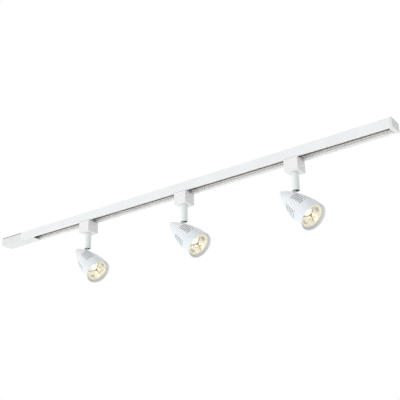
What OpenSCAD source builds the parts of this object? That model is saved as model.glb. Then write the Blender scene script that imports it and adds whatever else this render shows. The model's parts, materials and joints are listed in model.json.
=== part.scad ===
// Track lighting fixture: a live-fed straight track with three adjustable spotlights.
// +Z is up and the ceiling is the plane z = 0. +X runs along the track, away from its live end.
// Every head is made in the same way: an adapter that slides along the track, a stem that turns
// in it, and a shade with its lamp that tilts on a pin inside the stem's lower end.

/* [Track] */
// Length of the track profile
track_length = 1000; // [800:10:2000]
// Width of the track profile
track_width = 35; // [33:0.5:45]
// Height of the track profile
track_height = 20; // [19.5:0.5:26]
// Wall thickness of the track profile
track_wall = 1.6; // [1.2:0.1:2]
// Width of the slot along the underside
slot_width = 25; // [22:0.5:27]
// Distance between the two ceiling fixing holes
fixing_spacing = 800; // [650:10:900]
// Diameter of a ceiling fixing hole
fixing_hole_d = 4.5; // [3.5:0.1:6]
// Thickness of the end cap's outer plate
end_cap_thickness = 5; // [3:0.5:10]

/* [Conductors] */
// Height of the insulating strips, which stand on the lips of the track
insulator_height = 14; // [12:0.1:14.4]
// Depth of the insulating strips, from the side wall inwards
insulator_depth = 5.7; // [5:0.1:6]
// Height of the middle of a side conductor above the lip
conductor_level = 8.6; // [8.4:0.1:9.4]
// Height of a side conductor and of its groove
conductor_height = 3.2; // [3:0.1:3.6]
// Height of the groove that carries an adapter's wings
wing_groove_height = 2.6; // [2.2:0.1:3]
// Depth of the groove that carries an adapter's wings
wing_groove_depth = 2.6; // [2:0.1:3]
// Thickness of a side conductor
conductor_thickness = 2; // [1:0.1:2.5]
// Width of the flat earth conductor
earth_width = 4.5; // [3:0.1:5]
// Thickness of the flat earth conductor
earth_thickness = 0.8; // [0.5:0.1:1]

/* [Live end] */
// Length of the live end beyond the track
live_end_length = 72; // [64:1:120]
// Wall thickness of the live end's housing
live_end_wall = 1.8; // [1.4:0.1:2.4]
// Length of the tongue that closes the slot beside the live end
tongue_length = 40; // [30:1:60]
// Thickness of the dark tray between the housing and the ceiling
tray_thickness = 2; // [1.5:0.1:3]
// Diameter of the cable entry
cable_hole_d = 10; // [8:0.5:12]

/* [Heads] */
// Places of the three heads along the track
head_x = [-278, 10.5, 288]; // [-300:0.5:300]
// Turn of each head about its stem, counted from +X towards +Y
head_turn = [-2.3, -0.4, -7.1]; // [-30:0.1:30]
// Tilt of each head below the horizontal
head_tilt = [42.6, 40.7, 44.7]; // [0:0.1:90]

/* [Adapter] */
// Length of the adapter along the track
adapter_length = 31; // [30:0.5:60]
// Width of the adapter across the track
adapter_width = 33; // [30:0.5:44]
// Height of the adapter below the track
adapter_height = 27.4; // [25:0.1:40]
// Wall thickness of the adapter
adapter_wall = 2; // [1.5:0.1:2.4]
// Thickness of the adapter's base plate
base_thickness = 2.5; // [2:0.1:4]
// Chamfer around the base plate
base_chamfer = 1.5; // [0.5:0.1:2]
// Travel of the lock tab
tab_travel = 3.5; // [3:0.1:4]

/* [Stem] */
// Diameter of the stem
stem_d = 15; // [14:0.5:18]
// Length of the stem below the adapter
stem_length = 38.1; // [32:0.1:120]
// Wall thickness of the stem
stem_wall = 1.4; // [1:0.1:1.8]
// Diameter of the spigot that turns in the adapter
spigot_d = 10; // [8:0.1:11]
// Height of the tilt pin above the stem's lower end
pivot_height = 8; // [7.5:0.1:10]
// Diameter of the tilt pin
pin_d = 3; // [2:0.1:4]
// Thickness of the ear on the tilt pin
ear_thickness = 4; // [3:0.1:5]

/* [Shade] */
// Length of the shade from its mouth to its tail
shade_length = 102; // [98:0.5:140]
// Wall thickness of the shade
shade_wall = 1.2; // [0.8:0.1:1.6]
// Radius of the shade's blunt tail
tail_radius = 5.2; // [4.6:0.1:8]
// Distance from the mouth back to the tilt pin
pivot_station = 77.4; // [76:0.1:82]
// Number of vent slots in each group
vent_rows = 6; // [1:1:7]
// Distance from one vent slot to the next
vent_pitch = 6; // [5:0.1:7]
// Width of a vent slot
vent_width = 3; // [1.5:0.1:3.5]
// Distance from the mouth back to the first vent slot
vent_start = 27; // [20:0.5:35]
// Angle that a group of vent slots covers
vent_angle = 46; // [20:1:60]

/* [Lamp] */
// Diameter of the lamp's face
lamp_d = 50; // [48:0.5:64]
// Distance from the mouth back to the lamp's face
lamp_recess = 4.5; // [3:0.1:8]
// Length of the lamp from its face to the back of its base
lamp_length = 47; // [44:0.5:49]
// Gap between the lamp and the shade at the mouth
lamp_ring_gap = 3.4; // [2:0.1:6]
// Distance between the lamp's two pins
lamp_pin_spacing = 10; // [9:0.1:11]
// Diameter of the heads of the lamp's pins
lamp_pin_d = 4.7; // [4:0.1:5]
// Thickness of the lamp's front glass
lens_thickness = 1.4; // [1:0.1:2]
// Height of the lampholder, square to the shade's axis
holder_height = 17; // [15:0.5:18]
// Length of the lampholder across the shade
holder_length = 28; // [26:0.5:29]
// Depth of the lampholder along the shade's axis
holder_depth = 18; // [17:0.1:19]

/* [Hidden] */
head_count = 3;
TRACK_NODES = [
    "track_profile", "front_insulator", "back_insulator", "live_conductor", "neutral_conductor",
    "earth_conductor", "live_end_housing", "live_end_tray", "terminal_block", "live_end_contacts",
    "terminal_screws", "end_cap"
];
HEAD_NODES = [
    "adapter_body", "adapter_base", "adapter_contacts", "lock_tab", "lock_spring", "stem",
    "stem_clip", "pivot_block", "pivot_pin", "shade", "shade_bracket", "lampholder",
    "head_screws", "lamp_body", "lamp_lens", "lamp_pins"
];

$fn = 72;
// Facets of the two long arcs of the shade
arc_facets = 240;
// Overshoot of a cut past the face that it opens
cut = 1;
// Gap between pieces that move past each other
move_gap = 0.3;
// Radial gap of a shaft that turns in its bore
running_gap = 0.05;
// Gap between pieces of one body that are put together by hand
fit_gap = 0.2;

// Track
track_start = -track_length / 2;
track_end = track_length / 2;
half_width = track_width / 2;
cap_plug = 5;
strip_end = track_end - cap_plug - cut;
lip_top = -track_height + track_wall;
insulator_top = lip_top + insulator_height;
insulator_face = half_width - track_wall - insulator_depth;
conductor_z = [lip_top + conductor_level - conductor_height / 2,
    lip_top + conductor_level + conductor_height / 2];
// Thickness of the insulator's foot under the wing groove
foot_height = 2.4;
wing_groove_z = [lip_top + foot_height, lip_top + foot_height + wing_groove_height];
// How far a conductor's face lies behind the insulator's face
conductor_inset = 0.8;
conductor_face = insulator_face + conductor_inset;
rib_height = 0.8;
rib_depth = 2.4;
earth_y = 6.75;
earth_bottom = -track_wall - earth_thickness;

// Live end
live_end_start = track_start - live_end_length;
tray_inset = 0.8;
corner_radius = 2;
cable_x = live_end_start + 24;
block_length = 28;
block_half_width = 11;
block_bottom = -15;
block_top = -6;
block_start = track_start - block_length - 4;
carrier_length = 24;
carrier_half_width = 6.5;
contact_width = 2.4;
contact_z = [lip_top + conductor_level - contact_width / 2,
    lip_top + conductor_level + contact_width / 2];
contact_start = track_start - 14;
contact_end = track_start + 20;
terminal_pitch = 7;
terminal_screw_d = 3;
terminal_screw_length = 5;

// Adapter
adapter_top = -track_height - move_gap;
adapter_bottom = adapter_top - adapter_height;
tab_thickness = 2.6;
tab_x = -adapter_length / 2 + adapter_wall + move_gap + tab_thickness / 2;
neck_gap = 0.6;
neck_r = min(insulator_face, -tab_x - tab_thickness / 2 - move_gap) - neck_gap;
neck_top = earth_bottom - move_gap - 0.7;
neck_bore_r = 4;
neck_bore_top = -7.5;
wing_z = [wing_groove_z[0] + move_gap, wing_groove_z[1] - move_gap];
wing_half_width = insulator_face + wing_groove_depth - move_gap;
wing_length = 2 * insulator_face - 2;
base_top = adapter_bottom + base_thickness;
rim_height = 2;
rim_thickness = 1.2;
boss_r = 9;
boss_height = 1.8;
boss_top = base_top + boss_height;
blade_inner = neck_bore_r;
blade_outer = conductor_face - move_gap;
stud_r = 1.5;
stud_depth = 5;

// Lock tab and its spring
nose_half_width = slot_width / 2 - 0.4;
tab_half_width = nose_half_width + 1;
nose_top = -track_height + 1.2;
tab_top = adapter_top - adapter_wall - move_gap;
tab_height = 14.4;
finger_height = 5;
finger_half_width = 3;
finger_reach = 1.2;
spring_turns = 5;
spring_r = 1.3;
spring_wire_r = 0.3;
spring_x = -adapter_length / 2 + adapter_wall + move_gap + spring_r + spring_wire_r;
spring_steps = 12;
wire_sides = 8;

// Stem
stem_top = adapter_bottom - move_gap;
stem_bottom = stem_top - stem_length;
stem_r = stem_d / 2;
stem_bore_r = stem_r - stem_wall;
shoulder = 3;
spigot_r = spigot_d / 2;
spigot_bore_r = 3;
clip_bottom = boss_top + move_gap;
clip_thickness = 1;
clip_groove = 0.6;
clip_r = spigot_r + 2.2;
clip_gap = 4;
spigot_top = clip_bottom + clip_thickness + 2;
pivot_z = stem_bottom + pivot_height;
ear_gap = 0.4;
ear_slot = ear_thickness + 2 * ear_gap;
ear_r = pivot_height / 2;
block_above_pivot = 8;
lead_bore_r = 2;

// Shade: an arc turned about the axis, square to it at the mouth
mouth_r = lamp_d / 2 + lamp_ring_gap + shade_wall;
curve_r = (pow(shade_length, 2) + pow(mouth_r - tail_radius, 2)) / (2 * (mouth_r - tail_radius));
tail_wall = 4.5;
// Outer radius of the shade, and its inner one, at a distance s back from the mouth
function shade_r(s) = mouth_r - curve_r + sqrt(pow(curve_r, 2) - pow(s, 2));
function bore_r(s) = mouth_r - curve_r + sqrt(pow(curve_r - shade_wall, 2) - pow(s, 2));
// Height of the tilt pin above the shade's axis: the stem's corner just clears the shade
pivot_standoff = stem_r + 4.4;
axis_drop = shade_r(pivot_station) + pivot_standoff;

// Lamp, its holder and the bracket, as distances back from the mouth
lamp_back = lamp_recess + lamp_length;
lamp_base_length = 19;
lamp_base_r = 10;
lamp_neck_r = 12;
lamp_rim = 2.2;
reflector_wall = 1.3;
pin_length = 7.6;
pin_head_length = 3;
pin_shank_r = 1.5;
holder_front = lamp_back + 0.6;
holder_back = holder_front + holder_depth;
socket_depth = pin_length + 0.8;
plate_thickness = 2;
plate_back = holder_back + plate_thickness;
screw_r = 1.5;
screw_head_r = 2.7;
screw_head_height = 2;
holder_screw_y = holder_length / 2 - 3.6;
boss_outer_r = 4;
web_front = pivot_station - ear_r;
web_back = pivot_station + ear_r;
tail_boss_back = web_back + 3;
tail_screw_front = web_back - 3;

// Moves a head's children to its place along the track
module at_head(i) {
    translate([head_x[i - 1], 0, 0]) rotate([0, 0, head_turn[i - 1]]) children();
}

// Adapters stay square to the track
module at_adapter(i) {
    translate([head_x[i - 1], 0, 0]) children();
}

// The tilted frame of a head: origin at the tilt pin, +X where the lamp aims
module aimed(i) {
    at_head(i) translate([0, 0, pivot_z]) rotate([0, head_tilt[i - 1], 0]) children();
}

// The shade's frame: origin at the mouth, +Z back along the axis, +X towards the pin's side
module on_axis(i) {
    aimed(i) translate([pivot_station, 0, -axis_drop]) rotate([0, -90, 0]) children();
}

// A box from its two corners
module span(low, high) {
    translate(low) cube(high - low);
}

// A box from its ranges along X, Y and Z
module bar(x, y, z) {
    span([x[0], y[0], z[0]], [x[1], y[1], z[1]]);
}

module both_sides() {
    children();
    mirror([0, 1, 0]) children();
}

// Track ---------------------------------------------------------------------

module track_profile() {
    x = [track_start, track_end];
    rib_y = [half_width - track_wall - rib_depth, half_width - track_wall];
    color("white") difference() {
        union() {
            bar(x, [-half_width, half_width], [-track_wall, 0]);
            both_sides() {
                bar(x, [half_width - track_wall, half_width], [-track_height, 0]);
                bar(x, [slot_width / 2, half_width], [-track_height, lip_top]);
                bar([track_start, strip_end], rib_y, [insulator_top, insulator_top + rib_height]);
            }
        }
        for (side = [-1, 1])
            translate([side * fixing_spacing / 2, 0, -track_wall - cut])
                cylinder(d = fixing_hole_d, h = track_wall + 2 * cut);
    }
}

// The insulating strip of the +Y side: its upper groove holds the conductor, its lower one
// carries the wings of the adapters
module insulator() {
    x = [track_start - cut, strip_end + cut];
    color("whitesmoke") difference() {
        bar([track_start, strip_end], [insulator_face, half_width - track_wall],
            [lip_top, insulator_top]);
        bar(x, [insulator_face - cut, conductor_face + conductor_thickness], conductor_z);
        bar(x, [insulator_face - cut, insulator_face + wing_groove_depth], wing_groove_z);
    }
}

module front_insulator() {
    mirror([0, 1, 0]) insulator();
}

module back_insulator() {
    insulator();
}

module side_conductor() {
    color("peru") bar([track_start, strip_end],
        [conductor_face, conductor_face + conductor_thickness], conductor_z);
}

module live_conductor() {
    mirror([0, 1, 0]) side_conductor();
}

module neutral_conductor() {
    side_conductor();
}

module earth_conductor() {
    color("peru") bar([track_start, strip_end],
        [earth_y - earth_width / 2, earth_y + earth_width / 2], [earth_bottom, -track_wall]);
}

module end_cap() {
    plug_y = half_width - track_wall;
    color("white") {
        bar([track_end, track_end + end_cap_thickness], [-half_width, half_width],
            [-track_height, 0]);
        bar([track_end - cap_plug, track_end], [-plug_y, plug_y], [lip_top, -track_wall]);
    }
}

// Live end ------------------------------------------------------------------

// A box with its two vertical edges at the outer end rounded
module live_end_block(inset, z, end) {
    r = corner_radius;
    y = half_width - inset;
    x = live_end_start + inset;
    translate([0, 0, z[0]]) linear_extrude(z[1] - z[0]) union() {
        translate([x + r, -y]) square([end - x - r, 2 * y]);
        translate([x, -y + r]) square([r, 2 * (y - r)]);
        for (side = [-1, 1]) translate([x + r, side * (y - r)]) circle(r = r);
    }
}

module live_end_housing() {
    floor_z = -track_height + live_end_wall;
    tongue_y = slot_width / 2 - fit_gap;
    color("gainsboro") {
        difference() {
            live_end_block(0, [-track_height, -tray_thickness], track_start);
            live_end_block(live_end_wall, [floor_z, 0], track_start + cut);
        }
        bar([track_start - cut, track_start + tongue_length], [-tongue_y, tongue_y],
            [-track_height + fit_gap, lip_top]);
    }
}

module live_end_tray() {
    post_y = half_width - live_end_wall - fit_gap;
    color("dimgray") difference() {
        union() {
            live_end_block(tray_inset, [-tray_thickness, 0], track_start);
            both_sides() bar([block_start, block_start + block_length],
                [block_half_width - 2, post_y], [block_top, -tray_thickness]);
        }
        translate([cable_x, 0, -tray_thickness - cut])
            cylinder(d = cable_hole_d, h = tray_thickness + 2 * cut);
    }
}

// The block that clamps the supply, with the carrier that reaches into the track
module terminal_block() {
    carrier_end = track_start + carrier_length;
    color("beige") difference() {
        union() {
            bar([block_start, block_start + block_length],
                [-block_half_width, block_half_width], [block_bottom, block_top]);
            bar([block_start + block_length, carrier_end],
                [-carrier_half_width, carrier_half_width], [block_bottom, block_top]);
        }
        both_sides() bar([contact_start, contact_end],
            [carrier_half_width - contact_width, carrier_half_width + cut], contact_z);
        for (k = [-1:1])
            translate([block_start + block_length / 2, k * terminal_pitch, block_bottom - cut])
                cylinder(d = terminal_screw_d, h = terminal_screw_length + cut);
    }
}

module live_end_contacts() {
    inner = carrier_half_width - contact_width;
    reach = track_start + 4;
    color("gold") {
        both_sides() {
            bar([contact_start, contact_end], [inner, carrier_half_width], contact_z);
            bar([reach, contact_end], [carrier_half_width, conductor_face], contact_z);
        }
        bar([reach, contact_end], [earth_y - contact_width, carrier_half_width],
            [block_top, earth_bottom]);
    }
}

module terminal_screws() {
    slot = 0.6;
    color("goldenrod") for (k = [-1:1])
        translate([block_start + block_length / 2, k * terminal_pitch, block_bottom]) difference() {
            cylinder(d = terminal_screw_d, h = terminal_screw_length);
            translate([-terminal_screw_d, -slot / 2, -cut]) cube([2 * terminal_screw_d, slot, 2 * cut]);
        }
}

// Adapter -------------------------------------------------------------------

module neck_outline() {
    translate([0, 0, adapter_top - adapter_wall])
        cylinder(r = neck_r, h = neck_top - adapter_top + adapter_wall);
    span([-wing_length / 2, -wing_half_width, wing_z[0]],
        [wing_length / 2, wing_half_width, wing_z[1]]);
}

module contact_blade() {
    span([-contact_width, blade_inner, contact_z[0]], [contact_width, blade_outer, contact_z[1]]);
}

module earth_stud() {
    translate([0, neck_r - stud_r - 0.8, neck_top - stud_depth])
        cylinder(r = stud_r, h = stud_depth + earth_bottom - move_gap - neck_top);
}

module adapter_body(i) {
    x = adapter_length / 2;
    y = adapter_width / 2;
    finger_bottom = tab_top - tab_height;
    color("white") at_adapter(i) difference() {
        union() {
            span([-x, -y, base_top], [x, y, adapter_top]);
            neck_outline();
        }
        span([-x + adapter_wall, -y + adapter_wall, base_top - cut],
            [x - adapter_wall, y - adapter_wall, adapter_top - adapter_wall]);
        translate([0, 0, base_top])
            cylinder(r = neck_bore_r, h = neck_bore_top - base_top);
        both_sides() contact_blade();
        earth_stud();
        // Way of the tab's nose, and the window that its finger moves in
        span([tab_x - tab_thickness / 2 - move_gap, -nose_half_width - move_gap, base_top],
            [tab_x + tab_thickness / 2 + move_gap, nose_half_width + move_gap, adapter_top + cut]);
        span([-x - cut, -finger_half_width - move_gap, finger_bottom - tab_travel - move_gap],
            [tab_x, finger_half_width + move_gap, finger_bottom + finger_height + move_gap]);
    }
}

module adapter_base(i) {
    x = adapter_length / 2;
    y = adapter_width / 2;
    c = base_chamfer;
    h = base_thickness;
    rim_y = y - adapter_wall - fit_gap;
    color("white") at_adapter(i) difference() {
        union() {
            translate([0, 0, adapter_bottom]) intersection() {
                rotate([90, 0, 0]) linear_extrude(2 * y, center = true)
                    polygon([[-x + c, 0], [x - c, 0], [x, c], [x, h], [-x, h], [-x, c]]);
                rotate([90, 0, 90]) linear_extrude(2 * x, center = true)
                    polygon([[-y + c, 0], [y - c, 0], [y, c], [y, h], [-y, h], [-y, c]]);
            }
            both_sides() span([-x / 2, rim_y - rim_thickness, base_top],
                [x / 2, rim_y, base_top + rim_height]);
            translate([0, 0, base_top]) cylinder(r = boss_r, h = boss_height);
        }
        translate([0, 0, adapter_bottom - cut])
            cylinder(r = spigot_r + running_gap, h = base_thickness + boss_height + 2 * cut);
    }
}

module adapter_contacts(i) {
    color("gold") at_adapter(i) {
        both_sides() contact_blade();
        earth_stud();
    }
}

module lock_tab(i) {
    bottom = tab_top - tab_height;
    inner = tab_x + tab_thickness / 2;
    outer = tab_x - tab_thickness / 2;
    color("lightgray") at_adapter(i) {
        span([outer, -tab_half_width, bottom], [inner, tab_half_width, tab_top]);
        span([outer, -nose_half_width, tab_top], [inner, nose_half_width, nose_top]);
        span([-adapter_length / 2 - finger_reach, -finger_half_width, bottom],
            [outer, finger_half_width, bottom + finger_height]);
    }
}

// Points of the spring's wire: rings of wire_sides points along a helix
function coil_ring(k, rise) =
    let (turn = 360 * k / spring_steps, z = rise * k / (spring_turns * spring_steps))
    [for (j = [0:wire_sides - 1])
        let (a = 360 * j / wire_sides, r = spring_r + spring_wire_r * cos(a))
        [r * cos(turn), r * sin(turn), z + spring_wire_r * sin(a)]];

module lock_spring(i) {
    length = tab_top - tab_height - base_top;
    last = spring_turns * spring_steps;
    n = wire_sides;
    points = [for (k = [0:last]) each coil_ring(k, length - 2 * spring_wire_r)];
    sides = [for (k = [0:last - 1], j = [0:n - 1])
        [k * n + j, k * n + (j + 1) % n, (k + 1) * n + (j + 1) % n, (k + 1) * n + j]];
    ends = [[for (j = [n - 1:-1:0]) j], [for (j = [0:n - 1]) last * n + j]];
    color("silver") at_adapter(i) translate([spring_x, 0, base_top + spring_wire_r])
        polyhedron(points, concat(sides, ends));
}

// Stem ----------------------------------------------------------------------

module stem(i) {
    color("white") at_head(i) difference() {
        union() {
            translate([0, 0, stem_bottom]) cylinder(r = stem_r, h = stem_length);
            translate([0, 0, stem_top - cut]) cylinder(r = spigot_r, h = spigot_top - stem_top + cut);
        }
        translate([0, 0, stem_bottom - cut])
            cylinder(r = stem_bore_r, h = stem_length - shoulder + cut);
        translate([0, 0, stem_bottom]) cylinder(r = spigot_bore_r, h = spigot_top - stem_bottom + cut);
        translate([0, 0, clip_bottom]) difference() {
            cylinder(r = clip_r, h = clip_thickness);
            translate([0, 0, -cut])
                cylinder(r = spigot_r - clip_groove, h = clip_thickness + 2 * cut);
        }
        // The slot at the back that the ear swings into when the lamp aims down
        span([-stem_r - cut, -ear_slot / 2, stem_bottom - cut],
            [0, ear_slot / 2, pivot_z + ear_r + ear_gap]);
    }
}

module stem_clip(i) {
    color("silver") at_head(i) translate([0, 0, clip_bottom]) difference() {
        cylinder(r = clip_r, h = clip_thickness);
        translate([0, 0, -cut]) cylinder(r = spigot_r - clip_groove, h = clip_thickness + 2 * cut);
        translate([0, -clip_gap / 2, -cut]) cube([clip_r + cut, clip_gap, clip_thickness + 2 * cut]);
    }
}

module pivot_block(i) {
    top = pivot_z + block_above_pivot;
    color("#2a2a2c") at_head(i) difference() {
        translate([0, 0, stem_bottom]) cylinder(r = stem_bore_r, h = top - stem_bottom);
        span([-stem_r, -ear_slot / 2, stem_bottom - cut],
            [stem_r, ear_slot / 2, pivot_z + ear_r + ear_gap]);
        translate([0, 0, pivot_z]) rotate([90, 0, 0]) cylinder(d = pin_d, h = stem_d, center = true);
        translate([0, 0, pivot_z]) cylinder(r = lead_bore_r, h = block_above_pivot + cut);
    }
}

module pivot_pin(i) {
    color("silver") at_head(i) translate([0, 0, pivot_z]) rotate([90, 0, 0])
        cylinder(d = pin_d, h = 2 * (stem_bore_r - move_gap), center = true);
}

// Shade ---------------------------------------------------------------------

// Half of the shade's outline, made smaller by inset, between two distances from the mouth
module shade_half(inset, low, high) {
    intersection() {
        translate([mouth_r - curve_r, 0]) circle(r = curve_r - inset, $fn = arc_facets);
        translate([0, low]) square([mouth_r + cut, high - low]);
    }
}

module vent_slot(s, angle) {
    inner = bore_r(s) - vent_width / 2;
    depth = shade_wall + vent_width;
    rotate([0, 0, angle - vent_angle / 2]) translate([0, 0, s - vent_width / 2])
        rotate_extrude(angle = vent_angle) translate([inner, 0]) square([depth, vent_width]);
    for (side = [-1, 1])
        rotate([0, 0, angle + side * vent_angle / 2]) translate([inner, 0, s])
            rotate([0, 90, 0]) cylinder(d = vent_width, h = depth);
}

module shade(i) {
    ear_room = ear_thickness / 2 + fit_gap;
    color("white") on_axis(i) difference() {
        rotate_extrude() difference() {
            shade_half(0, 0, shade_length);
            shade_half(shade_wall, -cut, shade_length - tail_wall);
        }
        for (angle = [45:90:315], k = [0:vent_rows - 1])
            vent_slot(vent_start + k * vent_pitch, angle);
        span([bore_r(web_back) - 3 * cut, -ear_room, web_front - fit_gap],
            [mouth_r, ear_room, web_back + fit_gap]);
        translate([0, 0, shade_length - tail_wall - cut])
            cylinder(r = screw_r, h = tail_wall + 2 * cut);
        translate([0, 0, shade_length - screw_head_height])
            cylinder(r = screw_head_r + fit_gap, h = screw_head_height + cut);
    }
}

// The ear on the tilt pin, its web and the round plate that carries the lampholder
module shade_bracket(i) {
    web_top = bore_r(web_back) - fit_gap - cut;
    color("silver") on_axis(i) difference() {
        union() {
            translate([axis_drop, 0, pivot_station]) rotate([90, 0, 0])
                cylinder(r = ear_r, h = ear_thickness, center = true);
            span([0, -ear_thickness / 2, web_front], [axis_drop, ear_thickness / 2, web_back]);
            span([-boss_outer_r, -ear_thickness / 2, plate_back - cut],
                [web_top, ear_thickness / 2, web_front + cut]);
            translate([0, 0, holder_back])
                cylinder(r = bore_r(plate_back) - fit_gap, h = plate_thickness);
            translate([0, 0, plate_back]) cylinder(r = boss_outer_r, h = tail_boss_back - plate_back);
        }
        translate([axis_drop, 0, pivot_station]) rotate([90, 0, 0])
            cylinder(d = pin_d + 2 * running_gap, h = stem_d, center = true);
        translate([0, 0, tail_screw_front]) cylinder(r = screw_r, h = shade_length);
        for (side = [-1, 1]) translate([0, side * holder_screw_y, holder_back - cut])
            cylinder(r = screw_r, h = plate_thickness + 2 * cut);
    }
}

module lampholder(i) {
    r = holder_height / 2;
    pin_hole_r = lamp_pin_d / 2 + move_gap;
    color("ivory") on_axis(i) difference() {
        translate([0, 0, holder_front]) linear_extrude(holder_depth) union() {
            square([holder_height, holder_length - holder_height], center = true);
            for (side = [-1, 1]) translate([0, side * (holder_length / 2 - r)]) circle(r = r);
        }
        for (side = [-1, 1]) {
            translate([0, side * lamp_pin_spacing / 2, holder_front - cut])
                cylinder(r = pin_hole_r, h = socket_depth + cut);
            translate([0, side * holder_screw_y, holder_front - cut])
                cylinder(r = screw_r, h = holder_depth + 2 * cut);
            translate([0, side * holder_screw_y, holder_front - cut])
                cylinder(r = screw_head_r, h = screw_head_height + cut);
        }
    }
}

// One screw, head first along +Z, with a cross slot in its head
module screw(length) {
    slot = 0.8;
    difference() {
        union() {
            cylinder(r = screw_head_r, h = screw_head_height);
            cylinder(r = screw_r, h = length);
        }
        for (turn = [0, 90]) rotate([0, 0, turn])
            translate([-screw_head_r / 2, -slot / 2, -cut]) cube([screw_head_r, slot, 2 * cut]);
    }
}

module head_screws(i) {
    color("silver") on_axis(i) {
        for (side = [-1, 1]) translate([0, side * holder_screw_y, holder_front])
            screw(plate_back - holder_front);
        translate([0, 0, shade_length]) rotate([180, 0, 0])
            screw(shade_length - tail_screw_front);
    }
}

// Lamp ----------------------------------------------------------------------

module lamp_body(i) {
    r = lamp_d / 2;
    rim_back = lamp_recess + lens_thickness + lamp_rim;
    base_front = lamp_back - lamp_base_length;
    cup = base_front - lamp_recess - lens_thickness;
    color("khaki") on_axis(i) difference() {
        rotate_extrude() difference() {
            union() {
                translate([0, lamp_recess]) square([r, rim_back - lamp_recess]);
                bowl_outline(r - cut, lamp_neck_r, rim_back, base_front);
                translate([0, base_front]) square([lamp_base_r, lamp_base_length]);
            }
            bowl_outline(r - cut - reflector_wall, lamp_neck_r / 2,
                lamp_recess + lens_thickness, base_front - reflector_wall);
            translate([0, lamp_recess - cut]) square([r - lamp_rim / 2, lens_thickness + cut]);
        }
        for (side = [-1, 1]) translate([0, side * lamp_pin_spacing / 2, lamp_back - 3])
            cylinder(r = pin_shank_r, h = 3 + cut);
    }
}

// Half outline of a bowl that curves in from its rim to its neck
module bowl_outline(rim_r, neck_r, front, back) {
    steps = 10;
    depth = back - front;
    function bowl_r(t) = neck_r + (rim_r - neck_r) * sqrt(1 - t * t);
    polygon(concat([[0, front]],
        [for (k = [0:steps]) let (t = k / steps) [bowl_r(t), front + depth * t]],
        [[0, back]]));
}

module lamp_lens(i) {
    color([1, 0.95, 0.8, 0.5]) on_axis(i) translate([0, 0, lamp_recess])
        cylinder(r = lamp_d / 2 - lamp_rim / 2, h = lens_thickness);
}

module lamp_pins(i) {
    color("silver") on_axis(i) for (side = [-1, 1])
        translate([0, side * lamp_pin_spacing / 2, lamp_back]) {
            translate([0, 0, -3]) cylinder(r = pin_shank_r, h = pin_length + 3 - pin_head_length + cut);
            translate([0, 0, pin_length - pin_head_length])
                cylinder(d = lamp_pin_d, h = pin_head_length);
        }
}

track_profile();
front_insulator();
back_insulator();
live_conductor();
neutral_conductor();
earth_conductor();
live_end_housing();
live_end_tray();
terminal_block();
live_end_contacts();
terminal_screws();
end_cap();
for (i = [1:head_count]) {
    adapter_body(i);
    adapter_base(i);
    adapter_contacts(i);
    lock_tab(i);
    lock_spring(i);
    stem(i);
    stem_clip(i);
    pivot_block(i);
    pivot_pin(i);
    shade(i);
    shade_bracket(i);
    lampholder(i);
    head_screws(i);
    lamp_body(i);
    lamp_lens(i);
    lamp_pins(i);
}
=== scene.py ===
import json
import math

import bmesh
import bpy
import numpy as np
from mathutils import Matrix, Vector

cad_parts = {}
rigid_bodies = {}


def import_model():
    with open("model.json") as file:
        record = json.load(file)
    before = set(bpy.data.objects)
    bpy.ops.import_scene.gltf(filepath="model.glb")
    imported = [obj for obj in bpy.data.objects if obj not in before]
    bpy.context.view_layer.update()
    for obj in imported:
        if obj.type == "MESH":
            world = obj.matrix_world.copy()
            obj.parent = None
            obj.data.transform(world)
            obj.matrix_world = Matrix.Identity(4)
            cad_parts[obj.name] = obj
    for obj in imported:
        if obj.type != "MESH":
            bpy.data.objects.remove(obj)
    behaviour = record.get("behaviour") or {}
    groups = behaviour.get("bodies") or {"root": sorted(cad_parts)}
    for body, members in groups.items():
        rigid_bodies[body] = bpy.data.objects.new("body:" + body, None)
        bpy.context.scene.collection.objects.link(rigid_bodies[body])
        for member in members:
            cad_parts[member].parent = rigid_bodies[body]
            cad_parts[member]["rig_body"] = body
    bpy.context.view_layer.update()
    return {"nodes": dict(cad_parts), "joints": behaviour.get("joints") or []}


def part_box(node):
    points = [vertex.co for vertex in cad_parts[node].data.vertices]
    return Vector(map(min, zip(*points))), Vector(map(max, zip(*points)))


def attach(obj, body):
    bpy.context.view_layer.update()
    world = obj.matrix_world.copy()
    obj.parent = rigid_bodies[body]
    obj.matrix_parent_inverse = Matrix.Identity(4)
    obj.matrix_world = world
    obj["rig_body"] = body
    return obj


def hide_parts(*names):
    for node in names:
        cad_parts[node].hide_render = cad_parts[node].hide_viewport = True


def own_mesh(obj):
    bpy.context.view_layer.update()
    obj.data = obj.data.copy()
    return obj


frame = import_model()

# Three white spotlights on a straight track under a ceiling.
# Lengths in the dictionaries are in millimetres, and mm turns them into metres.
mm = 0.001
headNames = ["left", "middle", "right"]
joints = {joint["name"]: joint for joint in frame["joints"]}


def gridFaces(rows, columns, wrap=True):
    # Corner numbers of the quads of a grid; with wrap its last column meets its first
    row, column = np.meshgrid(np.arange(rows - 1), np.arange(columns if wrap else columns - 1),
                              indexing="ij")
    after = (column + 1) % columns
    return np.stack([row * columns + column, row * columns + after,
                     (row + 1) * columns + after, (row + 1) * columns + column], -1).reshape(-1, 4)


def buildMesh(name, points, faces):
    # Points as an n by 3 array and faces as an m by 4 or m by 3 array go straight into a mesh
    data = bpy.data.meshes.new(name)
    sides = faces.shape[1]
    data.vertices.add(len(points))
    data.vertices.foreach_set("co", points.astype(np.float32).ravel())
    data.loops.add(faces.size)
    data.loops.foreach_set("vertex_index", faces.astype(np.int32).ravel())
    data.polygons.add(len(faces))
    data.polygons.foreach_set("loop_start", np.arange(0, faces.size, sides, dtype=np.int32))
    data.update(calc_edges=True)
    data.validate()
    piece = bpy.data.objects.new(name, data)
    bpy.context.scene.collection.objects.link(piece)
    return piece


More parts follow.
